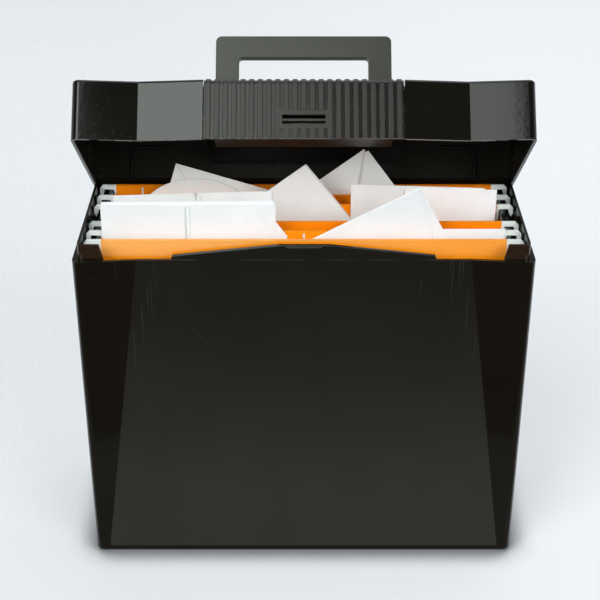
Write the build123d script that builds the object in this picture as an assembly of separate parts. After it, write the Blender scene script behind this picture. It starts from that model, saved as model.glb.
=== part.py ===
from build123d import *
import os
from math import cos, radians, sin

# Portable file box for A4 hanging files. Millimetres, +Z up.
# Origin: middle of the box's footprint, on the floor. The front faces -Y.
# The lid stands ajar by REST_OPEN, the handle stands up, and the files hang on the rails.

# ---------------------------------------------------------------- driving dimensions

# hanging files (the A4 standard sets the rails and the span over the hooks)
RAIL_SPACING = 330.0
HOOK_REACH = 10.0
CARD_RAIL_GAP = 4.0
CARD_DROP = 240.0
CARD_SHEET = 0.6
CARD_BEND = 45.0
CARD_FOOT = 6.0
HEM_DEPTH = 11.0
TAB_SLOT_PITCH = 27.7
TAB_SLOT_WIDTH = 1.8
TAB_SLOT_HEIGHT = 6.5
TAB_SLOT_DROP = 1.0
TAB_SLOT_COUNT = 11
BAR_SHEET = 1.6
BAR_FIT = 0.1
HOOK_SHEET = 2.4
HOOK_ARM = 3.8
HOOK_DROP = 10.5
HOOK_TIP = 3.0
HOOK_ROOT_DROP = 15.0
HOOK_ROOT = 3.4
HOOK_RADIUS = 2.6
HOOK_SLANT = 1.0
HOOK_SIDE_FIT = 0.4
RAIL_SEAT_GAP = 0.2

# places of the files' bars, from the front edge, and for the rear file from the rear edge
FRONT_FILE_BACK = 22.0
FRONT_FILE_OPEN = 17.0
MIDDLE_FILE_BACK = 56.0
MIDDLE_FILE_OPEN = 34.0
REAR_FILE_FORE = 19.0
REAR_FILE_OPEN = 22.0

# tub
LEDGE_HEIGHT = 283.0
BODY_DEPTH = 150.0
BODY_WALL = 2.8
FLOOR = 3.0
DRAFT = 2.0
BODY_CORNER = 6.0
FOOT_RADIUS = 4.5
CAVITY_FOOT = 2.0
FOLD_INSET_LEDGE = 50.5
FOLD_INSET_FLOOR = 13.0
PANEL_RECESS_LEDGE = 4.5
PANEL_RECESS_FLOOR = 1.0
LEDGE_WIDTH = 4.0
LEDGE_SHEET = 3.0
LIP_WALL = 2.0
LIP_RISE = 12.0
LIP_CORNER = 4.0
LIP_FRONT_INSET = 6.8
LIP_RETURN_LENGTH = 20.5
LIP_RETURN_SLANT = 3.0
HOOK_ROOM = 1.5
RAIL_SHEET = 2.5
RAIL_RISE = 5.5
SHELF_SHEET = 2.5
HOOK_FLOOR_ROOM = 4.0

# tab in the front edge, with the catch nose
TAB_FOLD_GAP = 27.4
TAB_STEP = 3.2
TAB_STEP_RUN = 1.2
TAB_RISE = 12.2
TAB_FLAT_HALF = 20.0
TAB_SHEET = 2.6
TAB_SETBACK = 1.5
TAB_ROOT = 5.0
TAB_BEVEL = 0.7
NOSE_HALF = 14.0
NOSE_LOW = 8.0
NOSE_HIGH = 11.0
NOSE_REACH = 1.0
NOSE_BEVEL = 0.7

# rear gutter and hinge
HINGE_RADIUS = 4.5
HINGE_DROP = 0.3
GUTTER_DROP = 12.0
GUTTER_SHEET = 3.0
GUTTER_ROOM = 0.8
HINGE_X = 120.0
LID_KNUCKLE = 27.2
BODY_KNUCKLE = 12.0
KNUCKLE_GAP = 0.4
KNUCKLE_REST_BACK = 1.5
WIRE_RADIUS = 1.5
WIRE_FIT = 0.05
WIRE_ARM_GAP = 4.0
WIRE_ARM = 42.0
WIRE_FOOT = 30.0
WIRE_BEND = 4.0

# lid
REST_OPEN = 39.0
LID_HEIGHT = 49.0
LID_WALL = 2.5
LID_STEP = 0.7
LID_FOLD_GAP = 2.0
LID_FOLD_RECESS = 4.5
LID_CORNER = 5.5
LID_FOLD_RADIUS = 3.0
LID_TOP_RADIUS = 2.5
BAY_DEPTH = 18.0
BAY_CHEEK_RISE = 11.0
WELL_HALF = 82.0
WELL_CLEAR = 24.0
WELL_FRONT_HALF = 73.0
WELL_FRONT_CLEAR = 18.0
WELL_FRONT_DEPTH = 63.0
GUSSET_LEG = 13.0
GUSSET_SHEET = 2.0
GUSSET_CLEAR = 14.0
PAD_BACK = 98.0
PAD_LENGTH = 16.0
PAD_HEIGHT = 9.0
PAD_SHEET = 1.6
PAD_CLEAR = 14.0

# latch
LATCH_HALF = 78.2
LATCH_SIDE_GAP = 0.8
LATCH_SHEET = 2.2
LATCH_TOP_DEPTH = 15.0
LATCH_TOP_RADIUS = 4.0
LATCH_FOOT_GAP = 0.5
LATCH_PIVOT_BACK = 9.0
LATCH_PIVOT_RISE = 42.5
LATCH_PIN_RADIUS = 2.2
LATCH_PIN_FIT = 0.08
LATCH_LUG_SHEET = 2.5
LATCH_LUG_RADIUS = 3.6
RIB_PITCH = 6.8
RIB_COUNT = 23
RIB_WIDTH = 4.0
RIB_HEIGHT = 1.0
LOW_RIB_HEIGHT = 0.5
RIB_ROUND_SHARE = 0.6
LATCH_SLOT_HALF = 17.0
LATCH_SLOT_LOW = 12.0
LATCH_SLOT_HIGH = 20.0
LATCH_SLOT_BORDER = 3.4
LATCH_BAR_HEIGHT = 1.6
LATCH_BAR_SETBACK = 0.9
LATCH_HOOK_HALF = 12.0
LATCH_HOOK_LOW = 3.5
LATCH_HOOK_HIGH = 7.5
CATCH_GAP = 1.0

# handle
HANDLE_WIDTH = 144.0
HANDLE_BAND = 19.0
HANDLE_REACH = 71.0
HANDLE_FOOT = 5.0
HANDLE_SHEET = 7.0
HANDLE_CORNER = 5.0
HANDLE_INNER_CORNER = 3.0
HANDLE_EDGE = 0.9
HANDLE_FOOT_ROUND = 3.0
HANDLE_PIVOT_BACK = 52.0
HANDLE_PIVOT_RISE = 32.0
HANDLE_PIN_RADIUS = 3.0
HANDLE_PIN_FIT = 0.08
HANDLE_PIN_SHORT = 0.6

# papers (sides from the middle of the box, rises above the tub's edge, tilts in degrees)
SHEET = 0.6
ENVELOPE = 1.2
PAPER_GAP = 0.4
PAPER_OVERHANG = 1.0
PAPER_DEPTH = 153.0
ENVELOPE_LONG = 162.0
ENVELOPE_SHORT = 114.0
BACK_SHEET_SIDE = 60.0
BACK_SHEET_RISE = 12.0
LEFT_LEAFLET_WIDTH = 67.3
LEFT_LEAFLET_RISE = 35.5
RIGHT_LEAFLET_SIDE = 90.7
RIGHT_LEAFLET_WIDTH = 77.4
RIGHT_LEAFLET_RISE = 35.7
LEAFLET_NOTCH_WIDTH = 9.2
LEAFLET_NOTCH_LOW = 5.7
LEAFLET_NOTCH_HIGH = 19.9
FRONT_ENVELOPE_TIP = 91.2
FRONT_ENVELOPE_RISE = 49.6
FRONT_ENVELOPE_TILT = 28.5
MIDDLE_ENVELOPE_TIP = 1.8
MIDDLE_ENVELOPE_RISE = 47.6
MIDDLE_ENVELOPE_TILT = 37.5
LONG_SHEET_INSET = 4.0
LONG_SHEET_WIDTH = 131.6
LONG_SHEET_LEFT_RISE = 19.2
LONG_SHEET_RIGHT_RISE = 23.6
SQUARE_CARD_INSET = 2.0
SQUARE_CARD_WIDTH = 120.9
SQUARE_CARD_LEFT_RISE = 29.4
SQUARE_CARD_RIGHT_RISE = 25.3
REAR_RIGHT_TIP = 50.0
REAR_RIGHT_RISE = 49.5
REAR_RIGHT_TILT = 36.5
REAR_RIGHT_WIDTH = 46.0
REAR_RIGHT_LENGTH = 150.0
REAR_LEFT_TIP = 107.5
REAR_LEFT_RISE = 36.4
REAR_LEFT_TILT = 73.0

# how far joined forms reach into each other, how far cuts reach past, and the match for edges
OVERLAP = 1.0
CUT_ROOM = 5.0
NEAR = 0.01

# ---------------------------------------------------------------- derived places

HOOK_HALF = RAIL_SPACING / 2 + HOOK_REACH
CARD_HALF = RAIL_SPACING / 2 - CARD_RAIL_GAP
LIP_OUTER_HALF = HOOK_HALF + HOOK_ROOM + LIP_WALL
BODY_HALF = LIP_OUTER_HALF + LEDGE_WIDTH
BODY_WIDTH = 2 * BODY_HALF
FRONT_Y = -BODY_DEPTH / 2
REAR_Y = BODY_DEPTH / 2
FOLD_X_LEDGE = BODY_HALF - FOLD_INSET_LEDGE
FOLD_X_FLOOR = BODY_HALF - FOLD_INSET_FLOOR
FACET_SLOPE = PANEL_RECESS_LEDGE / FOLD_INSET_LEDGE
PANEL_Y = FRONT_Y + PANEL_RECESS_LEDGE
TAB_HALF = FOLD_X_LEDGE - TAB_FOLD_GAP
LIP_RETURN_X = LIP_OUTER_HALF - LIP_RETURN_LENGTH

FRONT_BAR_Y = FRONT_Y + FRONT_FILE_BACK
FRONT_FILE = (FRONT_BAR_Y, FRONT_BAR_Y + FRONT_FILE_OPEN)
MIDDLE_BAR_Y = FRONT_Y + MIDDLE_FILE_BACK
MIDDLE_FILE = (MIDDLE_BAR_Y, MIDDLE_BAR_Y + MIDDLE_FILE_OPEN)
REAR_BAR_Y = REAR_Y - REAR_FILE_FORE
REAR_FILE = (REAR_BAR_Y - REAR_FILE_OPEN, REAR_BAR_Y)

BAR_TOP = LEDGE_HEIGHT + RAIL_RISE + RAIL_SEAT_GAP + HOOK_ARM
SHELF_TOP = BAR_TOP - HOOK_DROP - HOOK_FLOOR_ROOM
HEM_THICKNESS = BAR_SHEET + 2 * (BAR_FIT + CARD_SHEET)

HINGE_Y = REAR_Y - LID_STEP - HINGE_RADIUS
HINGE_Z = LEDGE_HEIGHT - HINGE_RADIUS - HINGE_DROP
GUTTER_Z = LEDGE_HEIGHT - GUTTER_DROP
UPSTAND_Y = HINGE_Y - HINGE_RADIUS - GUTTER_ROOM

LID_FRONT_Y = FRONT_Y + LID_STEP
LID_REAR_Y = REAR_Y - LID_STEP
LID_HALF = BODY_HALF - LID_STEP
LID_FOLD_X = FOLD_X_LEDGE - LID_FOLD_GAP
LID_TOP = LEDGE_HEIGHT + LID_HEIGHT
BAY_HALF = LATCH_HALF + LATCH_SIDE_GAP
BAY_BACK_Y = FRONT_Y + BAY_DEPTH

LATCH_BASE_Y = FRONT_Y + RIB_HEIGHT
LATCH_INNER_Y = LATCH_BASE_Y + LATCH_SHEET
TAB_FRONT_Y = PANEL_Y + TAB_SETBACK
NOSE_Y = TAB_FRONT_Y - NOSE_REACH
LATCH_PIVOT_Y = FRONT_Y + LATCH_PIVOT_BACK
LATCH_PIVOT_Z = LEDGE_HEIGHT + LATCH_PIVOT_RISE

HANDLE_Y = FRONT_Y + HANDLE_PIVOT_BACK
HANDLE_Z = LEDGE_HEIGHT + HANDLE_PIVOT_RISE

HINGE_AXIS = Axis((0, HINGE_Y, HINGE_Z), (1, 0, 0))


# ---------------------------------------------------------------- helpers

def block(x, y, z):
    """Box between two values along each of X, Y and Z."""
    size = (x[1] - x[0], y[1] - y[0], z[1] - z[0])
    middle = ((x[0] + x[1]) / 2, (y[0] + y[1]) / 2, (z[0] + z[1]) / 2)
    return Pos(*middle) * Box(*size)


def mirrored(shape):
    """The shape and its mirror image on the other side of the middle."""
    return shape + shape.mirror(Plane.YZ)


def prismatoid(lower, upper):
    """Solid with flat sides between two outlines that have as many corners."""
    faces = [Face(Wire.make_polygon(lower)), Face(Wire.make_polygon(upper))]
    count = len(lower)
    for i in range(count):
        j = (i + 1) % count
        faces.append(Face(Wire.make_polygon([lower[i], lower[j], upper[j], upper[i]])))
    return Solid(Shell(faces))


def front_plate(points, y, thickness):
    """Plate with an outline in X and Z, from y back by its thickness."""
    outline = Plane.XZ * make_face(Polyline(*points, close=True))
    return Pos(0, y, 0) * extrude(outline, -thickness)


def side_plate(points, x, thickness):
    """Plate with an outline in Y and Z, from x towards +X by its thickness."""
    outline = Plane.YZ * make_face(Polyline(*points, close=True))
    return Pos(x, 0, 0) * extrude(outline, thickness)


def cross_pin(radius, x, y, z):
    """Cylinder along X between two values of X."""
    length = x[1] - x[0]
    return Pos((x[0] + x[1]) / 2, y, z) * Rot(Y=90) * Cylinder(radius, length)


def lid_pose(shape):
    """The shape turned from the shut lid's place to the lid's place at rest."""
    return shape.rotate(HINGE_AXIS, -REST_OPEN)


# ---------------------------------------------------------------- tub

def drafted_block(inset, bottom, top, corner):
    """Block that follows the tub's drafted outside, set in from it."""
    sections = []
    for z in (bottom, top):
        lean = DRAFT * (1 - z / LEDGE_HEIGHT)
        width = BODY_WIDTH - 2 * (lean + inset)
        depth = BODY_DEPTH - lean - 2 * inset
        sections.append(Plane.XY.offset(z) * RectangleRounded(width, depth, corner))
    return loft(sections, ruled=True)


def recess_outline(z, shift):
    """Outline at height z of the space in front of the recessed panel and its two facets."""
    share = z / LEDGE_HEIGHT
    fold_x = FOLD_X_FLOOR + (FOLD_X_LEDGE - FOLD_X_FLOOR) * share
    recess = PANEL_RECESS_FLOOR + (PANEL_RECESS_LEDGE - PANEL_RECESS_FLOOR) * share
    panel_y = FRONT_Y + recess + shift
    wing_y = panel_y - FACET_SLOPE * (BODY_HALF - fold_x)
    near_y = FRONT_Y - CUT_ROOM
    half = [(fold_x, panel_y, z), (BODY_HALF, wing_y, z), (BODY_HALF, near_y, z)]
    other = [(-x, y, height) for x, y, height in reversed(half)]
    return half + other


def front_recess(shift):
    """Space in front of the recessed panel, moved back by shift."""
    return prismatoid(recess_outline(0, shift), recess_outline(LEDGE_HEIGHT, shift))


def tub_walls():
    """Floor and four walls, with the folded front."""
    outside = drafted_block(0, 0, LEDGE_HEIGHT, BODY_CORNER)
    outside = fillet(outside.faces().sort_by(Axis.Z)[0].edges(), FOOT_RADIUS)
    outside = outside - front_recess(0)
    cavity = drafted_block(BODY_WALL, FLOOR, LEDGE_HEIGHT + CUT_ROOM, BODY_CORNER - BODY_WALL)
    cavity = fillet(cavity.faces().sort_by(Axis.Z)[0].edges(), CAVITY_FOOT)
    return outside - (cavity - front_recess(BODY_WALL))


def ledge_flange():
    """Thickened top edge that carries the lip along the sides and at the front corners."""
    z = (LEDGE_HEIGHT - LEDGE_SHEET, LEDGE_HEIGHT)
    side = block((LIP_OUTER_HALF - LIP_WALL, BODY_HALF), (FRONT_Y, UPSTAND_Y), z)
    corner_y = FRONT_Y + LIP_FRONT_INSET + LIP_WALL
    side = side + block((LIP_RETURN_X, BODY_HALF), (FRONT_Y, corner_y), z)
    shell = drafted_block(0, 0, LEDGE_HEIGHT, BODY_CORNER) - front_recess(0)
    return mirrored(side) & shell


def lip():
    """Inner lip along the sides and the rear, with a short return at each front corner."""
    front = FRONT_Y + LIP_FRONT_INSET
    middle = (front + UPSTAND_Y) / 2
    depth = UPSTAND_Y - front
    ring = RectangleRounded(2 * LIP_OUTER_HALF, depth, LIP_CORNER)
    inner_half = LIP_OUTER_HALF - LIP_WALL
    hole = RectangleRounded(2 * inner_half, depth - 2 * LIP_WALL, LIP_CORNER - LIP_WALL)
    wall = Pos(0, middle, LEDGE_HEIGHT) * extrude(ring - hole, LIP_RISE)
    low = LIP_RETURN_X
    high = LIP_RETURN_X + LIP_RETURN_SLANT
    top = LEDGE_HEIGHT + LIP_RISE
    gap = [(-low, LEDGE_HEIGHT), (low, LEDGE_HEIGHT), (high, top), (-high, top)]
    return wall - front_plate(gap, front - OVERLAP, LIP_WALL + LIP_CORNER)


def rails():
    """Rail on each side that the hooks hang on, carried by a shelf from the side wall."""
    middle = RAIL_SPACING / 2
    run = (FRONT_Y + LIP_FRONT_INSET, UPSTAND_Y - LIP_WALL)
    strip = block(
        (middle - RAIL_SHEET / 2, middle + RAIL_SHEET / 2),
        run,
        (SHELF_TOP - SHELF_SHEET, LEDGE_HEIGHT + RAIL_RISE),
    )
    shelf = block((middle, BODY_HALF - OVERLAP), run, (SHELF_TOP - SHELF_SHEET, SHELF_TOP))
    return mirrored(strip + shelf)


def front_tab():
    """Raised tab in the middle of the front edge, with the catch nose."""
    low = LEDGE_HEIGHT + TAB_STEP
    top = LEDGE_HEIGHT + TAB_RISE
    root = LEDGE_HEIGHT - TAB_ROOT
    half = [
        (TAB_HALF, root),
        (TAB_HALF, LEDGE_HEIGHT),
        (TAB_HALF - TAB_STEP_RUN, low),
        (TAB_FLAT_HALF, top),
    ]
    other = [(-x, z) for x, z in reversed(half)]
    tab = front_plate(half + other, TAB_FRONT_Y, TAB_SHEET)
    face = tab.faces().sort_by(Axis.Y)[0]
    tab = chamfer([e for e in face.edges() if e.center().Z > low], TAB_BEVEL)
    nose_z = (LEDGE_HEIGHT + NOSE_LOW, LEDGE_HEIGHT + NOSE_HIGH)
    nose = block((-NOSE_HALF, NOSE_HALF), (NOSE_Y, TAB_FRONT_Y + OVERLAP), nose_z)
    nose = chamfer(nose.edges().group_by(Axis.Z)[-1].sort_by(Axis.Y)[0], NOSE_BEVEL)
    return tab + nose


def gutter_cut():
    """Space that the hinge and the lid's rear edge need, right across the rear."""
    return block(
        (-BODY_HALF - OVERLAP, BODY_HALF + OVERLAP),
        (UPSTAND_Y, REAR_Y + CUT_ROOM),
        (GUTTER_Z, LEDGE_HEIGHT + LIP_RISE + CUT_ROOM),
    )


def gutter():
    """Floor under the hinge and the upstand in front of it."""
    inside = BODY_HALF - BODY_WALL
    under = (GUTTER_Z - GUTTER_SHEET, GUTTER_Z)
    floor = block((-inside, inside), (UPSTAND_Y - LIP_WALL, REAR_Y - OVERLAP), under)
    upstand_x = LIP_OUTER_HALF - LIP_CORNER
    sheet = (UPSTAND_Y - LIP_WALL, UPSTAND_Y)
    upstand = block((-upstand_x, upstand_x), sheet, (under[0], LEDGE_HEIGHT + OVERLAP))
    ends = block((upstand_x, inside), sheet, (under[0], LEDGE_HEIGHT))
    return floor + upstand + mirrored(ends)


def body_knuckles():
    """Two knuckles beside each lid knuckle, standing in the gutter."""
    start = LID_KNUCKLE / 2 + KNUCKLE_GAP
    knuckles = []
    for side in (-1, 1):
        for flank in (-1, 1):
            near = side * HINGE_X + flank * start
            far = near + flank * BODY_KNUCKLE
            x = (min(near, far), max(near, far))
            barrel = cross_pin(HINGE_RADIUS, x, HINGE_Y, HINGE_Z)
            post = block(x, (UPSTAND_Y, HINGE_Y + KNUCKLE_REST_BACK), (GUTTER_Z, HINGE_Z))
            knuckles.append(barrel + post - cross_pin(WIRE_RADIUS + WIRE_FIT, x, HINGE_Y, HINGE_Z))
    return knuckles


def box_body():
    """The whole moulded tub."""
    body = tub_walls() + ledge_flange() + lip() + rails() + front_tab()
    body = body - gutter_cut() + gutter()
    for knuckle in body_knuckles():
        body = body + knuckle
    return body


def hinge_wire():
    """Steel wire that is the hinge's rod, with bent ends that the lid's rear wall leans on."""
    arm_x = HINGE_X + LID_KNUCKLE / 2 + KNUCKLE_GAP + BODY_KNUCKLE + WIRE_ARM_GAP
    foot_x = arm_x - WIRE_FOOT
    top = HINGE_Z + WIRE_ARM
    left = [(-foot_x, HINGE_Y, top), (-arm_x, HINGE_Y, top), (-arm_x, HINGE_Y, HINGE_Z)]
    right = [(-x, y, z) for x, y, z in reversed(left)]
    path = FilletPolyline(*left, *right, radius=WIRE_BEND)
    section = Plane(origin=left[0], z_dir=(-1, 0, 0)) * Circle(WIRE_RADIUS)
    return sweep(section, path=path)


# ---------------------------------------------------------------- lid, drawn shut

def lid_outline():
    """Plan of the lid's outside."""
    fold_y = LID_FRONT_Y + LID_FOLD_RECESS
    half = [
        (BAY_HALF, LID_FRONT_Y),
        (LID_FOLD_X, fold_y),
        (LID_HALF, LID_FRONT_Y),
        (LID_HALF, LID_REAR_Y),
    ]
    other = [(-x, y) for x, y in reversed(half)]
    return half + other


def lid_block(inset, bottom, top):
    """Block with the lid's plan, set in by inset."""
    face = make_face(Polyline(*lid_outline(), close=True))
    if inset:
        face = offset(face, -inset, kind=Kind.INTERSECTION)
    form = extrude(Plane.XY.offset(bottom) * face, top - bottom)
    upright = form.edges().filter_by(Axis.Z)
    corners = [e for e in upright if abs(e.center().X) > LID_HALF - 2 * LID_WALL]
    form = fillet(corners, LID_CORNER - inset)
    upright = form.edges().filter_by(Axis.Z)
    folds = [e for e in upright if abs(abs(e.center().X) - LID_FOLD_X) < LID_WALL]
    return fillet(folds, LID_FOLD_RADIUS)


def lid_casing():
    """Top panel and skirts."""
    outside = lid_block(0, LEDGE_HEIGHT, LID_TOP)
    outside = fillet(outside.faces().sort_by(Axis.Z)[-1].edges(), LID_TOP_RADIUS)
    inside = lid_block(LID_WALL, LEDGE_HEIGHT - CUT_ROOM, LID_TOP - LID_WALL)
    return outside - inside


def well_block(margin, top):
    """Form of the handle well: deep at the rear, deeper at the front."""
    half = WELL_HALF - margin
    front_half = WELL_FRONT_HALF - margin
    front = BAY_BACK_Y + margin
    step = BAY_BACK_Y + WELL_FRONT_DEPTH - margin
    rear = LID_REAR_Y - LID_WALL / 2 - margin
    low = LEDGE_HEIGHT + WELL_FRONT_CLEAR + margin
    high = LEDGE_HEIGHT + WELL_CLEAR + margin
    deep = block((-front_half, front_half), (front, step), (low, top))
    return deep + block((-half, half), (front, rear), (high, top))


def bay_cheeks():
    """Inward returns beside the latch, which carry its pins."""
    z = (LEDGE_HEIGHT + BAY_CHEEK_RISE, LID_TOP - LID_WALL / 2)
    y = (LID_FRONT_Y + OVERLAP, BAY_BACK_Y + OVERLAP)
    return mirrored(block((BAY_HALF, BAY_HALF + LID_WALL), y, z))


def gussets():
    """Ribs across the two rear corners."""
    x = LID_HALF - LID_WALL / 2
    y = LID_REAR_Y - LID_WALL / 2
    leg = GUSSET_LEG
    inner = leg + GUSSET_SHEET
    points = [(x - leg, y), (x, y - leg), (x, y - inner), (x - inner, y)]
    face = make_face(Polyline(*points, close=True))
    low = LEDGE_HEIGHT + GUSSET_CLEAR
    return mirrored(extrude(Plane.XY.offset(low) * face, LID_TOP - LID_WALL / 2 - low))


def side_pads():
    """Small pads on the inner side walls."""
    wall = LID_HALF - LID_WALL
    middle = FRONT_Y + PAD_BACK
    low = LEDGE_HEIGHT + PAD_CLEAR
    y = (middle - PAD_LENGTH / 2, middle + PAD_LENGTH / 2)
    return mirrored(block((wall - PAD_SHEET, wall + OVERLAP), y, (low, low + PAD_HEIGHT)))


def lid_knuckles():
    """The lid's two knuckles, with the web that joins each to the rear wall."""
    knuckles = []
    for side in (-1, 1):
        x = (side * HINGE_X - LID_KNUCKLE / 2, side * HINGE_X + LID_KNUCKLE / 2)
        barrel = cross_pin(HINGE_RADIUS, x, HINGE_Y, HINGE_Z)
        web = block(x, (LID_REAR_Y - LID_WALL, LID_REAR_Y), (HINGE_Z, LEDGE_HEIGHT + OVERLAP))
        knuckles.append(barrel + web - cross_pin(WIRE_RADIUS + WIRE_FIT, x, HINGE_Y, HINGE_Z))
    return knuckles


def lid_shell():
    """The whole moulded lid."""
    above = LID_TOP + CUT_ROOM
    lid = lid_casing() + well_block(0, LID_TOP - LID_WALL / 2)
    bay_z = (LEDGE_HEIGHT - CUT_ROOM, above)
    bay = block((-BAY_HALF, BAY_HALF), (FRONT_Y - CUT_ROOM, BAY_BACK_Y), bay_z)
    lid = lid - bay - well_block(LID_WALL, above)
    lid = lid + bay_cheeks() + gussets() + side_pads()
    for knuckle in lid_knuckles():
        lid = lid + knuckle
    handle_bore = HANDLE_PIN_RADIUS + HANDLE_PIN_FIT
    reach = WELL_HALF + OVERLAP
    lid = lid - cross_pin(handle_bore, (-reach, reach), HANDLE_Y, HANDLE_Z)
    latch_bore = LATCH_PIN_RADIUS + LATCH_PIN_FIT
    reach = BAY_HALF + LID_WALL + OVERLAP
    return lid - cross_pin(latch_bore, (-reach, reach), LATCH_PIVOT_Y, LATCH_PIVOT_Z)


# ---------------------------------------------------------------- latch, drawn shut

def bent_outline(front, end, foot, top, radius):
    """Side view from the front to the end, with its upper front corner rounded."""
    outline = make_face(Polyline((front, foot), (front, top), (end, top), (end, foot), close=True))
    corner = outline.vertices().group_by(Axis.X)[0].sort_by(Axis.Y)[-1]
    return fillet(corner, radius)


def latch_section(proud, sheet):
    """Side view of a sheet over the latch's front and top, standing proud of its base."""
    front = LATCH_BASE_Y - proud
    end = FRONT_Y + LATCH_TOP_DEPTH
    foot = LEDGE_HEIGHT + LATCH_FOOT_GAP
    top = LID_TOP + proud
    radius = LATCH_TOP_RADIUS + proud
    outer = bent_outline(front, end, foot, top, radius)
    inner = bent_outline(front + sheet, end + OVERLAP, foot - OVERLAP, top - sheet, radius - sheet)
    return outer - inner


def on_outside(edge, proud):
    """Whether an edge along a rib is on its outer face."""
    spot = edge.center()
    on_front = abs(spot.Y - (LATCH_BASE_Y - proud)) < NEAR
    on_top = abs(spot.Z - (LID_TOP + proud)) < NEAR
    on_bend = edge.geom_type == GeomType.CIRCLE and edge.radius > LATCH_TOP_RADIUS
    return on_front or on_top or on_bend


def rib(height):
    """One rib over the front and the top, with its outer edges rounded."""
    section = Plane.YZ * latch_section(height, height + LATCH_SHEET / 2)
    form = extrude(section, RIB_WIDTH / 2, both=True)
    sides = [e for e in form.edges() if abs(e.center().X) > NEAR]
    return fillet([e for e in sides if on_outside(e, height)], height * RIB_ROUND_SHARE)


def slot_plate():
    """Plain plate round the slot, level with the ribs."""
    half = LATCH_SLOT_HALF + LATCH_SLOT_BORDER
    low = LEDGE_HEIGHT + LATCH_SLOT_LOW - LATCH_SLOT_BORDER
    high = LEDGE_HEIGHT + LATCH_SLOT_HIGH + LATCH_SLOT_BORDER
    return block((-half, half), (LATCH_BASE_Y - LOW_RIB_HEIGHT, LATCH_INNER_Y), (low, high))


def latch():
    """The ribbed latch plate with its hook, lugs and pin stubs."""
    plate = extrude(Plane.YZ * latch_section(0, LATCH_SHEET), LATCH_HALF, both=True)
    tall = rib(RIB_HEIGHT)
    short = rib(LOW_RIB_HEIGHT)
    border_half = LATCH_SLOT_HALF + LATCH_SLOT_BORDER
    border_high = LEDGE_HEIGHT + LATCH_SLOT_HIGH + LATCH_SLOT_BORDER
    middle_x = (-border_half, border_half)
    middle = block(middle_x, (FRONT_Y - OVERLAP, LATCH_BASE_Y), (LEDGE_HEIGHT, border_high))
    for i in range(RIB_COUNT):
        x = (i - (RIB_COUNT - 1) / 2) * RIB_PITCH
        one = Pos(x, 0, 0) * tall
        if abs(x) < border_half + RIB_WIDTH:
            one = one - middle
            one = one + (Pos(x, 0, 0) * short & middle)
        plate = plate + one
    plate = plate + slot_plate()
    slot_x = (-LATCH_SLOT_HALF, LATCH_SLOT_HALF)
    slot_z = (LEDGE_HEIGHT + LATCH_SLOT_LOW, LEDGE_HEIGHT + LATCH_SLOT_HIGH)
    plate = plate - block(slot_x, (FRONT_Y - OVERLAP, LATCH_INNER_Y + OVERLAP), slot_z)
    bar_low = (slot_z[0] + slot_z[1] - LATCH_BAR_HEIGHT) / 2
    bar_y = (LATCH_BASE_Y + LATCH_BAR_SETBACK, LATCH_INNER_Y)
    plate = plate + block(slot_x, bar_y, (bar_low, bar_low + LATCH_BAR_HEIGHT))
    hook_y = (LATCH_INNER_Y - OVERLAP, NOSE_Y - CATCH_GAP)
    hook_z = (LEDGE_HEIGHT + LATCH_HOOK_LOW, LEDGE_HEIGHT + LATCH_HOOK_HIGH)
    plate = plate + block((-LATCH_HOOK_HALF, LATCH_HOOK_HALF), hook_y, hook_z)
    lug_x = (LATCH_HALF - LATCH_LUG_SHEET, LATCH_HALF)
    lug = cross_pin(LATCH_LUG_RADIUS, lug_x, LATCH_PIVOT_Y, LATCH_PIVOT_Z)
    neck_y = (LATCH_PIVOT_Y - LATCH_LUG_RADIUS, LATCH_PIVOT_Y + LATCH_LUG_RADIUS)
    lug = lug + block(lug_x, neck_y, (LATCH_PIVOT_Z, LID_TOP - LATCH_SHEET / 2))
    stub_x = (LATCH_HALF - OVERLAP, BAY_HALF + LID_WALL)
    lug = lug + cross_pin(LATCH_PIN_RADIUS, stub_x, LATCH_PIVOT_Y, LATCH_PIVOT_Z)
    return plate + mirrored(lug)


# ---------------------------------------------------------------- handle, drawn standing on the shut lid

def arch(half, foot, top, radius):
    """Outline in X and Z that is square at the foot and rounded at its two upper corners."""
    outline = make_face(Polyline((-half, foot), (half, foot), (half, top), (-half, top), close=True))
    return fillet(outline.vertices().group_by(Axis.Y)[-1], radius)


def handle():
    """Flat bail with a pin stub on the outside of each leg."""
    half = HANDLE_WIDTH / 2
    foot = HANDLE_Z - HANDLE_FOOT
    top = HANDLE_Z + HANDLE_REACH
    outer = arch(half, foot, top, HANDLE_CORNER)
    inner = arch(half - HANDLE_BAND, foot - OVERLAP, top - HANDLE_BAND, HANDLE_INNER_CORNER)
    bail = extrude(Plane.XZ * (outer - inner), HANDLE_SHEET / 2, both=True)
    bail = Pos(0, HANDLE_Y, 0) * bail
    feet = [e for e in bail.edges().filter_by(Axis.X) if e.center().Z < foot + NEAR]
    bail = fillet(feet, HANDLE_FOOT_ROUND)
    edges = [e for face in bail.faces().filter_by(Axis.Y) for e in face.edges()]
    bail = fillet([e for e in edges if e.center().Z > foot + HANDLE_FOOT_ROUND], HANDLE_EDGE)
    stub_x = (half - OVERLAP, WELL_HALF - HANDLE_PIN_SHORT)
    return bail + mirrored(cross_pin(HANDLE_PIN_RADIUS, stub_x, HANDLE_Y, HANDLE_Z))


# ---------------------------------------------------------------- hanging files

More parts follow.
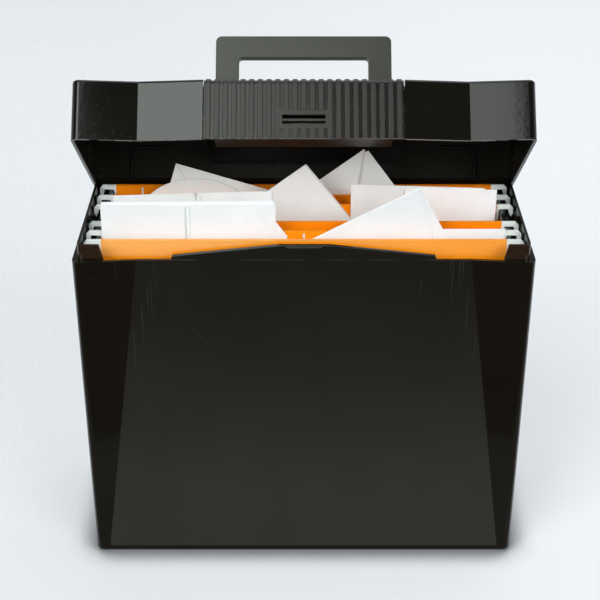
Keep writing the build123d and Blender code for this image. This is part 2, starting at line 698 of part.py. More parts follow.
def hanging_bar(y):
    """Bar inside the card's hem, with a hook at each end that hangs on the rail."""
    strip_low = BAR_TOP - HEM_DEPTH + CARD_SHEET + BAR_FIT
    strip_top = BAR_TOP - CARD_SHEET - BAR_FIT
    strip_y = (y - BAR_SHEET / 2, y + BAR_SHEET / 2)
    strip = block((-CARD_HALF - OVERLAP, CARD_HALF + OVERLAP), strip_y, (strip_low, strip_top))
    root = CARD_HALF + BAR_FIT
    arm_low = BAR_TOP - HOOK_ARM
    tip_low = BAR_TOP - HOOK_DROP
    root_low = BAR_TOP - HOOK_ROOT_DROP
    outline = [
        (root, BAR_TOP),
        (HOOK_HALF - HOOK_RADIUS, BAR_TOP),
        (HOOK_HALF, BAR_TOP - HOOK_RADIUS),
        (HOOK_HALF, tip_low + HOOK_RADIUS),
        (HOOK_HALF - HOOK_TIP / 2, tip_low),
        (HOOK_HALF - HOOK_TIP, tip_low + HOOK_RADIUS),
        (HOOK_HALF - HOOK_TIP - HOOK_SLANT, arm_low),
        (RAIL_SPACING / 2 - RAIL_SHEET / 2 - HOOK_SIDE_FIT, arm_low),
        (CARD_HALF + HOOK_ROOT / 2, root_low + HOOK_SLANT),
        (root, root_low),
    ]
    hook = front_plate(outline, y - HOOK_SHEET / 2, HOOK_SHEET)
    return strip + mirrored(hook)


def card_outline(front, rear, sheet, top):
    """Side view of the folded card, set in by sheet, open at the top."""
    foot = BAR_TOP - CARD_DROP
    bend = foot + CARD_BEND
    middle = (front + rear) / 2
    half = CARD_FOOT / 2
    return [
        (front + sheet, top),
        (front + sheet, bend),
        (middle - half, foot + sheet),
        (middle + half, foot + sheet),
        (rear - sheet, bend),
        (rear - sheet, top),
    ]


def hem(y, slots):
    """Hem of the card round a bar, with slots for index tabs in its front."""
    half = HEM_THICKNESS / 2
    inner = half - CARD_SHEET
    low = BAR_TOP - HEM_DEPTH
    form = block((-CARD_HALF, CARD_HALF), (y - half, y + half), (low, BAR_TOP))
    wide = (-CARD_HALF - OVERLAP, CARD_HALF + OVERLAP)
    form = form - block(wide, (y - inner, y + inner), (low + CARD_SHEET, BAR_TOP - CARD_SHEET))
    if slots:
        high = BAR_TOP - CARD_SHEET - TAB_SLOT_DROP
        slot_y = (y - half - OVERLAP, y)
        for i in range(TAB_SLOT_COUNT):
            left = (i - (TAB_SLOT_COUNT - 1) / 2) * TAB_SLOT_PITCH - TAB_SLOT_WIDTH / 2
            slot_z = (high - TAB_SLOT_HEIGHT, high)
            form = form - block((left, left + TAB_SLOT_WIDTH), slot_y, slot_z)
    return form


def file_card(place, front_slots):
    """Folded card of one hanging file, hemmed round its two bars."""
    front = place[0] - HEM_THICKNESS / 2
    rear = place[1] + HEM_THICKNESS / 2
    top = BAR_TOP - CARD_SHEET
    outer = side_plate(card_outline(front, rear, 0, top), -CARD_HALF, 2 * CARD_HALF)
    inner = card_outline(front, rear, CARD_SHEET, top + OVERLAP)
    inner = side_plate(inner, -CARD_HALF - OVERLAP, 2 * (CARD_HALF + OVERLAP))
    return outer - inner + hem(place[0], front_slots) + hem(place[1], True)


# ---------------------------------------------------------------- papers in the files

def paper_plate(points, back, thickness):
    """Flat paper with its rear face at back. Its points are X and the rise above the tub's edge."""
    outline = [(x, LEDGE_HEIGHT + rise) for x, rise in points]
    return front_plate(outline, back - thickness, thickness)


def upright_sheet(left, right, rises, back):
    """Sheet that stands upright between two sides, with its left and right rise."""
    points = [(left, -PAPER_DEPTH), (right, -PAPER_DEPTH), (right, rises[1]), (left, rises[0])]
    return paper_plate(points, back, SHEET)


def leaning_envelope(tip, tilt, size, back):
    """Envelope on its corner: its tip on top, from which one side falls to the left at tilt."""
    left = (-size[0] * cos(radians(tilt)), -size[0] * sin(radians(tilt)))
    right = (size[1] * sin(radians(tilt)), -size[1] * cos(radians(tilt)))
    points = [
        tip,
        (tip[0] + left[0], tip[1] + left[1]),
        (tip[0] + left[0] + right[0], tip[1] + left[1] + right[1]),
        (tip[0] + right[0], tip[1] + right[1]),
    ]
    return paper_plate(points, back, ENVELOPE)


def notched_leaflet(back):
    """Leaflet with a step and a slant cut out of its upper right corner."""
    left = -RIGHT_LEAFLET_SIDE
    right = left + RIGHT_LEAFLET_WIDTH
    shoulder = right - LEAFLET_NOTCH_WIDTH
    points = [
        (left, -PAPER_DEPTH),
        (right, -PAPER_DEPTH),
        (right, LEAFLET_NOTCH_LOW),
        (shoulder, LEAFLET_NOTCH_HIGH),
        (shoulder, RIGHT_LEAFLET_RISE),
        (left, RIGHT_LEAFLET_RISE),
    ]
    return paper_plate(points, back, SHEET)


def front_papers():
    """Papers in the front file, against its rear hem."""
    back = FRONT_FILE[1] - HEM_THICKNESS / 2 - PAPER_GAP
    edge = CARD_HALF + PAPER_OVERHANG
    tip = (FRONT_ENVELOPE_TIP, FRONT_ENVELOPE_RISE)
    size = (ENVELOPE_LONG, ENVELOPE_SHORT)
    fore = back - SHEET - PAPER_GAP
    return {
        "front_back_sheet": upright_sheet(BACK_SHEET_SIDE, edge, (BACK_SHEET_RISE, BACK_SHEET_RISE), back),
        "front_left_leaflet": upright_sheet(
            -edge, LEFT_LEAFLET_WIDTH - edge, (LEFT_LEAFLET_RISE, LEFT_LEAFLET_RISE), back
        ),
        "front_right_leaflet": notched_leaflet(back),
        "front_envelope": leaning_envelope(tip, FRONT_ENVELOPE_TILT, size, fore),
    }


def middle_papers():
    """Papers in the middle file, against its rear hem."""
    back = MIDDLE_FILE[1] - HEM_THICKNESS / 2 - PAPER_GAP
    tip = (MIDDLE_ENVELOPE_TIP, MIDDLE_ENVELOPE_RISE)
    size = (ENVELOPE_SHORT, ENVELOPE_LONG)
    fore = back - ENVELOPE - PAPER_GAP
    long_left = LONG_SHEET_INSET - CARD_HALF - PAPER_OVERHANG
    square_right = CARD_HALF + PAPER_OVERHANG - SQUARE_CARD_INSET
    long_rises = (LONG_SHEET_LEFT_RISE, LONG_SHEET_RIGHT_RISE)
    square_rises = (SQUARE_CARD_LEFT_RISE, SQUARE_CARD_RIGHT_RISE)
    return {
        "middle_envelope": leaning_envelope(tip, MIDDLE_ENVELOPE_TILT, size, back),
        "middle_long_sheet": upright_sheet(long_left, long_left + LONG_SHEET_WIDTH, long_rises, fore),
        "middle_square_card": upright_sheet(
            square_right - SQUARE_CARD_WIDTH, square_right, square_rises, fore
        ),
    }


def rear_papers():
    """Papers in the rear file, behind its front hem."""
    near = REAR_FILE[0] + HEM_THICKNESS / 2 + PAPER_GAP + ENVELOPE
    right_tip = (REAR_RIGHT_TIP, REAR_RIGHT_RISE)
    right_size = (REAR_RIGHT_WIDTH, REAR_RIGHT_LENGTH)
    left_tip = (-REAR_LEFT_TIP, REAR_LEFT_RISE)
    left_size = (ENVELOPE_SHORT, ENVELOPE_LONG)
    far = near + PAPER_GAP + ENVELOPE
    return {
        "rear_right_envelope": leaning_envelope(right_tip, REAR_RIGHT_TILT, right_size, near),
        "rear_left_envelope": leaning_envelope(left_tip, REAR_LEFT_TILT, left_size, far),
    }


# ---------------------------------------------------------------- all nodes

def all_nodes():
    """Every node of the file box by name."""
    nodes = {
        "box_body": box_body(),
        "hinge_wire": lid_pose(hinge_wire()),
        "lid_shell": lid_pose(lid_shell()),
        "latch": lid_pose(latch()),
        "handle": lid_pose(handle()),
    }
    for name, place in (("front", FRONT_FILE), ("middle", MIDDLE_FILE), ("rear", REAR_FILE)):
        nodes[name + "_file_card"] = file_card(place, name != "front")
        nodes[name + "_file_front_bar"] = hanging_bar(place[0])
        nodes[name + "_file_rear_bar"] = hanging_bar(place[1])
    return nodes | front_papers() | middle_papers() | rear_papers()


os.makedirs("parts", exist_ok=True)
for node, shape in all_nodes().items():
    export_step(shape, f"parts/{node}.step")
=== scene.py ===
"""Looks for the portable file box: plastics, hanging files, papers, light and camera."""

import math

import bmesh
import bpy
from mathutils import Matrix, Vector


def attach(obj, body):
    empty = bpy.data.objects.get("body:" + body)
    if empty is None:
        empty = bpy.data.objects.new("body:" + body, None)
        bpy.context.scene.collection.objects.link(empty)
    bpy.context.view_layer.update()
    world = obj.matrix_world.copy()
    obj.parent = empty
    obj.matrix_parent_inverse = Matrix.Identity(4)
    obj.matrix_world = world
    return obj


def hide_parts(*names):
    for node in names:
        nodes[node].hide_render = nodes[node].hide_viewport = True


MM = 0.001

# the tub's front, in millimetres: its edge, its face and the folds beside the panel
LEDGE = 283.0
FRONT = -75.0
FOLD_FLOOR = 169.5
FOLD_LEDGE = 132.0
PANEL_DEPTH = 7.0
RETURN_SIDE = 150.0
RETURN_DEPTH = 9.5

# the painted shadow line that the tub's edge and its tab cast on the foremost card, in metres
SHADE_DROP = 0.0064
TAB_SHADE_RISE = 0.0128
TAB_FLAT_HALF = 0.020
TAB_SLOPE = 0.108
TAB_HALF = 0.1046
FOREMOST_CARD = -0.050

# papers, in millimetres
PAPER_FOOT = -150.0
LEAF_SHEET = 0.28
LEAF_STEP = 7.0
LEAN_FROM = 6.0
CURL_REACH = 40.0
RIPPLE = 0.12
SHARP_ANGLE = math.radians(32)

# the lid as it rests on its hinge line, in metres
REST_OPEN = math.radians(39)
HINGE = (0.0698, 0.2782)
RIB_PITCH = 0.0068
FIRST_RIB = 20.5
SLOT_PLATE_HALF = 0.0204
SLOT_PLATE_MIDDLE = 0.0160
SLOT_PLATE_REACH = 0.0074
RING_PLACE = (-0.027, 0.0879, 0.2957)
RING_RADIUS = 0.0065
RING_DEPTH = 0.002

# the lid's inner faces and its handle well, in metres with the lid shut and heights above the tub's edge
INNER_HALF = 0.1806
INNER_TOP = 0.0478
INNER_FRONT = -0.0690
INNER_REAR = 0.0731
WELL_HALF = 0.082
WELL_INNER_HALF = 0.0808
WELL_INNER_FLOOR = 0.0252
WELL_SHADE_FROM = 0.0165
WALL_SHADE_ABOVE = 0.0055
REAR_WALL = 0.0712
STEP_HALF = 0.0735
STEP_RISE = 0.0180
STEP_REAR = 0.0066

# plastic colours: painted reflections on the tub's corner returns and under the handle well's step, a painted
# sheen inside the lid, and dust
RETURN_PAINTED_REFLECTION = (0.022, 0.0115, 0.0065)
INSIDE_PAINTED_SHEEN = (0.019, 0.0175, 0.0125)
SOLE_PAINTED_REFLECTION = (0.050, 0.050, 0.038)
DUST = (0.14, 0.14, 0.13)

# floor and lamps, in metres
FLOOR_HALF = 14.0
FLOOR_GLOW = 0.45
FRONT_FLOOR_EDGE = (-0.082, -0.070)
DARK_FLOOR_EDGE = (-0.27, -0.24)
DARK_FLOOR = (0.045, 0.042, 0.036)
DIM_FLOOR = (0.15, 0.15, 0.155)
LEFT_FLOOR = (0.785, 0.81, 0.84)
RIGHT_FLOOR = (0.865, 0.89, 0.92)
BRUSHED_FLOOR = (0.875, 0.885, 0.90)
NEAR_FLOOR = (0.76, 0.785, 0.815)
CONTACT_SHADE = (0.17, 0.175, 0.18)
CONTACT_REACH = 0.028
HORIZON = (0.80, 0.83, 0.86)
OVERHEAD = (0.06, 0.06, 0.063)
KEY_FACING = (0.0, 0.545, -0.838)
KEY_TINT = (0.96, 1.03, 0.965)
FILL_TINT = (0.98, 1.0, 1.03)

# camera
CAMERA_PLACE = (-0.003, -1.0915, 0.7905)
CAMERA_PITCH = math.radians(62)
CAMERA_LENS = 87.0
CAMERA_SENSOR = 36.0

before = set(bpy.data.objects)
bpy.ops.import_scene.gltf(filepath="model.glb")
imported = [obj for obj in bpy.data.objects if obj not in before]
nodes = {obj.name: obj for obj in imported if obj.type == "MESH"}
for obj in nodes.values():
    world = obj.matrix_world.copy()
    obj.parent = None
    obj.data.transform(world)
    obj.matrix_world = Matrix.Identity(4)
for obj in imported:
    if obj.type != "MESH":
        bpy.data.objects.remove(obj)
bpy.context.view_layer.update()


# ---------------------------------------------------------------- shader helpers

def add(tree, kind, inputs=None, **settings):
    """A new node with its settings, and with its inputs linked or set."""
    made = tree.nodes.new(kind)
    for name, value in settings.items():
        setattr(made, name, value)
    for name, value in (inputs or {}).items():
        if isinstance(value, bpy.types.NodeSocket):
            tree.links.new(value, made.inputs[name])
        else:
            made.inputs[name].default_value = value
    return made


def math_of(tree, operation, first, second=0.0):
    """Output of a Math node."""
    return add(tree, "ShaderNodeMath", {0: first, 1: second}, operation=operation).outputs[0]


def plus(tree, first, second):
    """The sum of two values."""
    return math_of(tree, "ADD", first, second)


def minus(tree, first, second):
    """The first value less the second."""
    return math_of(tree, "SUBTRACT", first, second)


def times(tree, first, *others):
    """The product of two or more values."""
    for other in others:
        first = math_of(tree, "MULTIPLY", first, other)
    return first


def greater_of(tree, first, second):
    """The greater of two values."""
    return math_of(tree, "MAXIMUM", first, second)


def is_below(tree, value, limit):
    """1 where a value is less than a limit, and 0 elsewhere."""
    return math_of(tree, "LESS_THAN", value, limit)


def is_above(tree, value, limit):
    """1 where a value is more than a limit, and 0 elsewhere."""
    return math_of(tree, "GREATER_THAN", value, limit)


def size_of(tree, value):
    """A value without its sign."""
    return math_of(tree, "ABSOLUTE", value)


def vector_of(tree, operation, first, second=(0.0, 0.0, 0.0)):
    """Outputs of a Vector Math node."""
    return add(tree, "ShaderNodeVectorMath", {0: first, 1: second}, operation=operation).outputs


def axes_of(tree, place):
    """The X, Y and Z of a place."""
    return add(tree, "ShaderNodeSeparateXYZ", {"Vector": place}).outputs


def ramp_of(tree, value, low, high, out_low=0.0, out_high=1.0):
    """Value taken from low..high to out_low..out_high, smoothly."""
    inputs = {"Value": value, "From Min": low, "From Max": high, "To Min": out_low, "To Max": out_high}
    return add(tree, "ShaderNodeMapRange", inputs, interpolation_type="SMOOTHSTEP").outputs["Result"]


def mix_colour(tree, factor, first, second):
    """Colour between two colours."""
    made = add(tree, "ShaderNodeMix", {"Factor": factor}, data_type="RGBA")
    for index, value in ((6, first), (7, second)):
        if isinstance(value, bpy.types.NodeSocket):
            tree.links.new(value, made.inputs[index])
        else:
            made.inputs[index].default_value = (*value, 1.0)
    return made.outputs[2]


def scaled(tree, coordinates, scale):
    """Coordinates times a scale along each axis."""
    return add(tree, "ShaderNodeMapping", {"Vector": coordinates, "Scale": scale}).outputs["Vector"]


def noise_of(tree, coordinates, scale, detail=2.0):
    """Noise from 0 to 1."""
    inputs = {"Vector": coordinates, "Scale": scale, "Detail": detail}
    return add(tree, "ShaderNodeTexNoise", inputs).outputs["Fac"]


def new_group(name, inputs, outputs):
    """An empty node group; inputs are name, kind and first value, and outputs are the names of values."""
    group = bpy.data.node_groups.new(name, "ShaderNodeTree")
    for socket, kind, start in inputs:
        made = group.interface.new_socket(socket, in_out="INPUT", socket_type=kind)
        if start is not None:
            made.default_value = start
    for socket in outputs:
        group.interface.new_socket(socket, in_out="OUTPUT", socket_type="NodeSocketFloat")
    entry = group.nodes.new("NodeGroupInput")
    leave = group.nodes.new("NodeGroupOutput")
    return group, entry.outputs, leave.inputs


def place_group(tree, group, inputs):
    """The outputs of a node group placed in a material."""
    return add(tree, "ShaderNodeGroup", inputs, node_tree=group).outputs


VECTOR = "NodeSocketVector"
FLOAT = "NodeSocketFloat"


def make_dust():
    """Small pale specks, thinly spread."""
    inputs = [("Coordinates", VECTOR, None), ("Spacing", FLOAT, 260.0), ("Share", FLOAT, 0.3)]
    group, given, out = new_group("settled_dust", inputs, ["Mask"])
    cell = add(group, "ShaderNodeTexVoronoi", {"Vector": given[0], "Scale": given[1], "Randomness": 1.0})
    near = ramp_of(group, cell.outputs["Distance"], 0.05, 0.09, 1.0, 0.0)
    picked = add(group, "ShaderNodeSeparateColor", {"Color": cell.outputs["Color"]}).outputs[0]
    kept = is_below(group, picked, given[2])
    group.links.new(times(group, near, kept), out[0])
    return group


def make_scratches():
    """Hair-thin scuffs that mostly run up and down, in a few patches."""
    inputs = [("Coordinates", VECTOR, None), ("Share", FLOAT, 0.5)]
    group, given, out = new_group("hairline_scuffs", inputs, ["Mask"])
    lines = noise_of(group, scaled(group, given[0], (520.0, 520.0, 7.0)), 1.0, 1.0)
    fine = ramp_of(group, lines, 0.735, 0.76)
    crossed = add(group, "ShaderNodeMapping", {"Vector": given[0], "Rotation": (0.0, 0.6, 0.0)})
    slant = noise_of(group, scaled(group, crossed.outputs["Vector"], (600.0, 600.0, 9.0)), 1.0, 1.0)
    rare = ramp_of(group, slant, 0.765, 0.785)
    patch = ramp_of(group, noise_of(group, given[0], 9.0), 0.52, 0.68)
    both = greater_of(group, fine, rare)
    group.links.new(times(group, times(group, both, patch), given[1]), out[0])
    return group


def make_wear():
    """Edges rubbed by use, found from how far a rounded normal leaves the real one."""
    inputs = [("Coordinates", VECTOR, None), ("Reach", FLOAT, 0.0008)]
    group, given, out = new_group("rubbed_edges", inputs, ["Mask"])
    rounded = add(group, "ShaderNodeBevel", {"Radius": given[1]}, samples=4).outputs["Normal"]
    plain = group.nodes.new("ShaderNodeNewGeometry").outputs["Normal"]
    facing = vector_of(group, "DOT_PRODUCT", rounded, plain)["Value"]
    edge = ramp_of(group, facing, 0.80, 0.985, 1.0, 0.0)
    patchy = ramp_of(group, noise_of(group, given[0], 90.0, 4.0), 0.42, 0.62)
    group.links.new(times(group, edge, patchy), out[0])
    return group


def make_fibre():
    """Card and paper fibres: a height and a faint mottle."""
    inputs = [("Coordinates", VECTOR, None), ("Grain", FLOAT, 900.0)]
    group, given, out = new_group("paper_fibres", inputs, ["Height", "Mottle"])
    fibres = noise_of(group, scaled(group, given[0], (1.0, 1.0, 0.45)), given[1], 4.0)
    cloud = noise_of(group, given[0], 60.0, 3.0)
    group.links.new(fibres, out[0])
    group.links.new(ramp_of(group, cloud, 0.3, 0.7), out[1])
    return group


dust_group = make_dust()
scratch_group = make_scratches()
wear_group = make_wear()
fibre_group = make_fibre()


def new_material(name):
    """A material, its tree, its shader and its Object coordinates."""
    material = bpy.data.materials.new(name)
    material.use_nodes = True
    tree = material.node_tree
    shader = tree.nodes["Principled BSDF"]
    return material, tree, shader, add(tree, "ShaderNodeTexCoord").outputs["Object"]


def bump(tree, shader, height, strength, distance):
    """Height into the shader's normal."""
    inputs = {"Height": height, "Strength": strength, "Distance": distance}
    tree.links.new(add(tree, "ShaderNodeBump", inputs).outputs["Normal"], shader.inputs["Normal"])


# ---------------------------------------------------------------- materials

def tub_panel(tree, place):
    """Masks on the tub's front: the satin middle panel, its painted haze (a painted reflection that grows
    from top to foot) and its rubbed folds.
    """
    axes = axes_of(tree, place)
    side = size_of(tree, axes[0])
    slope = (FOLD_FLOOR - FOLD_LEDGE) / LEDGE
    fold = minus(tree, FOLD_FLOOR * MM, times(tree, axes[2], slope))
    inward = minus(tree, fold, side)
    ahead = is_below(tree, axes[1], (FRONT + PANEL_DEPTH) * MM)
    above_foot = times(tree, ahead, ramp_of(tree, axes[2], 0.0060, 0.0080))
    panel = times(tree, ramp_of(tree, inward, -0.0006, 0.0006), above_foot)
    cloud = ramp_of(tree, noise_of(tree, place, 22.0, 4.0), 0.3, 0.7, 0.93, 1.07)
    # painted haze: reflected light painted into the panel's colour, strongest at the foot and faint at the
    # top
    painted_haze = times(tree, ramp_of(tree, axes[2], 0.02, 0.30, 1.0, 0.06), cloud)
    past_fold = ramp_of(tree, inward, 0.001, 0.004)
    near_fold = times(tree, past_fold, ramp_of(tree, inward, 0.012, 0.022, 1.0, 0.0))
    rubbed = times(tree, near_fold, ramp_of(tree, axes[2], 0.17, 0.24))
    return panel, painted_haze, times(tree, rubbed, ahead)


def corner_returns(tree, place):
    """Mask of the thin returns of the tub's lip at its two front corners."""
    axes = axes_of(tree, place)
    raised = is_above(tree, axes[2], LEDGE * MM + 0.0004)
    aside = is_above(tree, size_of(tree, axes[0]), RETURN_SIDE * MM)
    ahead = is_below(tree, axes[1], (FRONT + RETURN_DEPTH) * MM)
    return times(tree, raised, aside, ahead)


def lid_height(tree, axes):
    """How high a point of the lid is above the tub's edge when the lid is shut."""
    back = times(tree, minus(tree, axes[1], HINGE[0]), math.sin(REST_OPEN))
    up = times(tree, minus(tree, axes[2], HINGE[1]), math.cos(REST_OPEN))
    return plus(tree, plus(tree, back, up), HINGE[1] - LEDGE * MM)


def lid_depth(tree, axes):
    """How far back a point of the lid is, along Y, when the lid is shut."""
    level = times(tree, minus(tree, axes[1], HINGE[0]), math.cos(REST_OPEN))
    above = times(tree, minus(tree, axes[2], HINGE[1]), math.sin(REST_OPEN))
    return plus(tree, minus(tree, level, above), HINGE[0])


def well_sole(tree, place):
    """Mask of the underside of the handle well's front step, which carries a painted reflection."""
    axes = axes_of(tree, place)
    side = is_below(tree, size_of(tree, axes[0]), STEP_HALF)
    level = is_below(tree, size_of(tree, minus(tree, lid_height(tree, axes), STEP_RISE)), 0.0006)
    ahead = is_below(tree, lid_depth(tree, axes), STEP_REAR)
    return times(tree, side, level, ahead)


def inside_lid(tree, place):
    """Mask of the lid's inner faces for their painted sheen of reflected light, faint under the handle well,
    where it stands for painted shade, and without the well's own faces.
    """
    axes = axes_of(tree, place)
    side = size_of(tree, axes[0])
    up = lid_height(tree, axes)
    back = lid_depth(tree, axes)
    within = times(tree, is_below(tree, side, INNER_HALF), is_below(tree, up, INNER_TOP))
    within = times(tree, within, is_above(tree, back, INNER_FRONT), is_below(tree, back, INNER_REAR))
    over_well = times(tree, is_below(tree, side, WELL_INNER_HALF), is_above(tree, up, WELL_INNER_FLOOR))
    shade_from = plus(tree, times(tree, is_above(tree, back, REAR_WALL), WALL_SHADE_ABOVE), WELL_SHADE_FROM)
    under_well = times(tree, is_below(tree, side, WELL_HALF), is_above(tree, up, shade_from))
    # the painted sheen is weaker under the handle well: painted shade there
    less_under_well = minus(tree, 1.0, times(tree, under_well, 0.8))
    return times(tree, within, less_under_well, minus(tree, 1.0, over_well))


def rib_tops(tree, place):
    """Mask of the latch's rib tops, painted lighter as a painted highlight and partly as rubbing wear, and of
    the plain plate round its slot, painted lighter too.
    """
    axes = axes_of(tree, place)
    turns = plus(tree, math_of(tree, "DIVIDE", axes[0], RIB_PITCH), FIRST_RIB)
    from_middle = size_of(tree, minus(tree, math_of(tree, "FRACT", turns), 0.5))
    tops = ramp_of(tree, from_middle, 0.24, 0.31, 1.0, 0.0)
    beside = is_below(tree, size_of(tree, axes[0]), SLOT_PLATE_HALF)
    away = size_of(tree, minus(tree, lid_height(tree, axes), SLOT_PLATE_MIDDLE))
    plate = times(tree, beside, is_below(tree, away, SLOT_PLATE_REACH))
    return greater_of(tree, tops, plate)


def witness_ring(tree, place):
    """Mask of the round mark that the mould left inside the lid's rear wall."""
    away = vector_of(tree, "SUBTRACT", place, RING_PLACE)["Vector"]
    facing = (0.0, -math.cos(REST_OPEN), math.sin(REST_OPEN))
    across = vector_of(tree, "CROSS_PRODUCT", away, facing)["Vector"]
    radius = vector_of(tree, "LENGTH", across)["Value"]
    off_edge = size_of(tree, minus(tree, radius, RING_RADIUS))
    depth = vector_of(tree, "DOT_PRODUCT", away, facing)["Value"]
    on_wall = is_below(tree, size_of(tree, depth), RING_DEPTH)
    return times(tree, ramp_of(tree, off_edge, 0.0003, 0.0011, 1.0, 0.0), on_wall)


def moulded_plastic(
    name, base, worn, rough, panel=None, tops=None, lid_faces=False, specks=0.22, scuffs=0.5, peel=0.05
):
    """Moulded plastic with orange peel, dust, scuffs and rubbed edges.

    panel is the colour of the tub's satin panel, a painted haze of reflected light, and brings the painted
    reflection on the corner returns;
    tops is the colour of the latch's rib tops, a painted highlight and partly rubbing wear; lid_faces adds a
    painted sheen inside the lid, a painted reflection under the handle well's step and the mould's ring."""
    material, tree, shader, place = new_material(name)
    cloud = noise_of(tree, place, 14.0, 3.0)
    dust = place_group(tree, dust_group, {"Coordinates": place, "Share": specks})["Mask"]
    scratch = place_group(tree, scratch_group, {"Coordinates": place, "Share": scuffs})["Mask"]
    wear = place_group(tree, wear_group, {"Coordinates": place})["Mask"]
    colour = mix_colour(tree, ramp_of(tree, cloud, 0.3, 0.7), base, [v * 1.25 for v in base])
    dull = ramp_of(tree, cloud, 0.25, 0.75, rough, rough * 1.3)
    if panel:
        # the satin panel's lighter colour is a painted haze of reflected light
        shape, painted_haze, rubbed = tub_panel(tree, place)
        colour = mix_colour(tree, times(tree, shape, painted_haze), colour, panel)
        dull = plus(tree, dull, times(tree, shape, 0.2))
        lines = noise_of(tree, scaled(tree, place, (900.0, 900.0, 6.0)), 1.0, 1.0)
        drawn = times(tree, ramp_of(tree, lines, 0.60, 0.70), rubbed)
        colour = mix_colour(tree, times(tree, drawn, 0.22), colour, worn)
        # painted reflection of the orange cards on the tub's thin corner returns
        colour = mix_colour(tree, corner_returns(tree, place), colour, RETURN_PAINTED_REFLECTION)
    if tops:
        # painted highlight on the latch's rib tops and slot plate, partly rubbing wear
        rubbed = rib_tops(tree, place)
        colour = mix_colour(tree, rubbed, colour, tops)
        dull = plus(tree, dull, times(tree, rubbed, 0.16))
    if lid_faces:
        # painted sheen of reflected light on the lid's inner faces
        painted_sheen = inside_lid(tree, place)
        colour = mix_colour(tree, painted_sheen, colour, INSIDE_PAINTED_SHEEN)
        dull = plus(tree, dull, times(tree, painted_sheen, 0.22))
        # painted reflection of the papers on the underside of the handle well's step
        sole_reflection = well_sole(tree, place)
        colour = mix_colour(tree, sole_reflection, colour, SOLE_PAINTED_REFLECTION)
        dull = plus(tree, dull, times(tree, sole_reflection, 0.28))
        mark = times(tree, witness_ring(tree, place), 0.16)
        colour = mix_colour(tree, mark, colour, worn)
    colour = mix_colour(tree, times(tree, wear, 0.35), colour, worn)
    colour = mix_colour(tree, times(tree, scratch, 0.4), colour, worn)
    colour = mix_colour(tree, times(tree, dust, 0.45), colour, DUST)
    tree.links.new(colour, shader.inputs["Base Color"])
    marks = greater_of(tree, greater_of(tree, dust, scratch), wear)
    tree.links.new(plus(tree, dull, times(tree, marks, 0.2)), shader.inputs["Roughness"])
    shader.inputs["IOR"].default_value = 1.46
    ripple = noise_of(tree, place, 210.0, 2.0)
    height = minus(tree, ripple, times(tree, scratch, 0.6))
    bump(tree, shader, height, peel, 0.0006)
    return material


def orange_card(name, seed, base):
    """Dyed card with fibres and rubbed edges; the foremost hem has a painted sheen, paler to the left and
    upwards, above a painted shadow line of the tub's edge and tab.
    """
    material, tree, shader, place = new_material(name)
    moved = add(tree, "ShaderNodeMapping", {"Vector": place, "Location": (seed, seed, 0.0)}).outputs["Vector"]
    fibre = place_group(tree, fibre_group, {"Coordinates": moved, "Grain": 1100.0})
    wear = place_group(tree, wear_group, {"Coordinates": place, "Reach": 0.0005})["Mask"]
    axes = axes_of(tree, place)
    side = size_of(tree, axes[0])
    # painted shadow line of the tub's edge and tab; above it a painted sheen on the foremost hem, paler to
    # the left and at the top
    beside = greater_of(tree, minus(tree, side, TAB_FLAT_HALF), 0.0)
    behind_tab = minus(tree, TAB_SHADE_RISE, times(tree, beside, TAB_SLOPE))
    behind_tab = times(tree, behind_tab, is_below(tree, side, TAB_HALF))
    above_shade = minus(tree, axes[2], plus(tree, behind_tab, LEDGE * MM - SHADE_DROP))
    lit = ramp_of(tree, above_shade, 0.0011, 0.0032)
    foremost = times(tree, is_below(tree, axes[1], FOREMOST_CARD), lit)
    across = ramp_of(tree, axes[0], -0.16, 0.16, 1.0, 0.42)
    upwards = ramp_of(tree, axes[2], 0.277, 0.292, 0.68, 1.0)
    painted_hem_sheen = times(tree, across, upwards, foremost)
    deep = mix_colour(tree, fibre["Mottle"], [v * 0.965 for v in base], base)
    pale = mix_colour(tree, painted_hem_sheen, deep, (1.0, 0.430, 0.108))
    colour = mix_colour(tree, times(tree, wear, 0.4), pale, (1.0, 0.50, 0.14))
    tree.links.new(colour, shader.inputs["Base Color"])
    tree.links.new(ramp_of(tree, fibre["Mottle"], 0.0, 1.0, 0.62, 0.72), shader.inputs["Roughness"])
    shader.inputs["Specular IOR Level"].default_value = 0.10
    bump(tree, shader, fibre["Height"], 0.12, 0.0003)
    return material


def paper(name, colour, seed):
    """Uncoated paper with fibres and a faint mottle."""
    material, tree, shader, place = new_material(name)
    moved = add(tree, "ShaderNodeMapping", {"Vector": place, "Location": (seed, 0.0, seed)}).outputs["Vector"]
    fibre = place_group(tree, fibre_group, {"Coordinates": moved, "Grain": 1400.0})
    soft = [v * 0.965 for v in colour]
    mottled = mix_colour(tree, fibre["Mottle"], soft, colour)
    tree.links.new(mottled, shader.inputs["Base Color"])
    tree.links.new(ramp_of(tree, fibre["Height"], 0.2, 0.8, 0.68, 0.8), shader.inputs["Roughness"])
    shader.inputs["Specular IOR Level"].default_value = 0.3
    bump(tree, shader, fibre["Height"], 0.10, 0.00025)
    return material


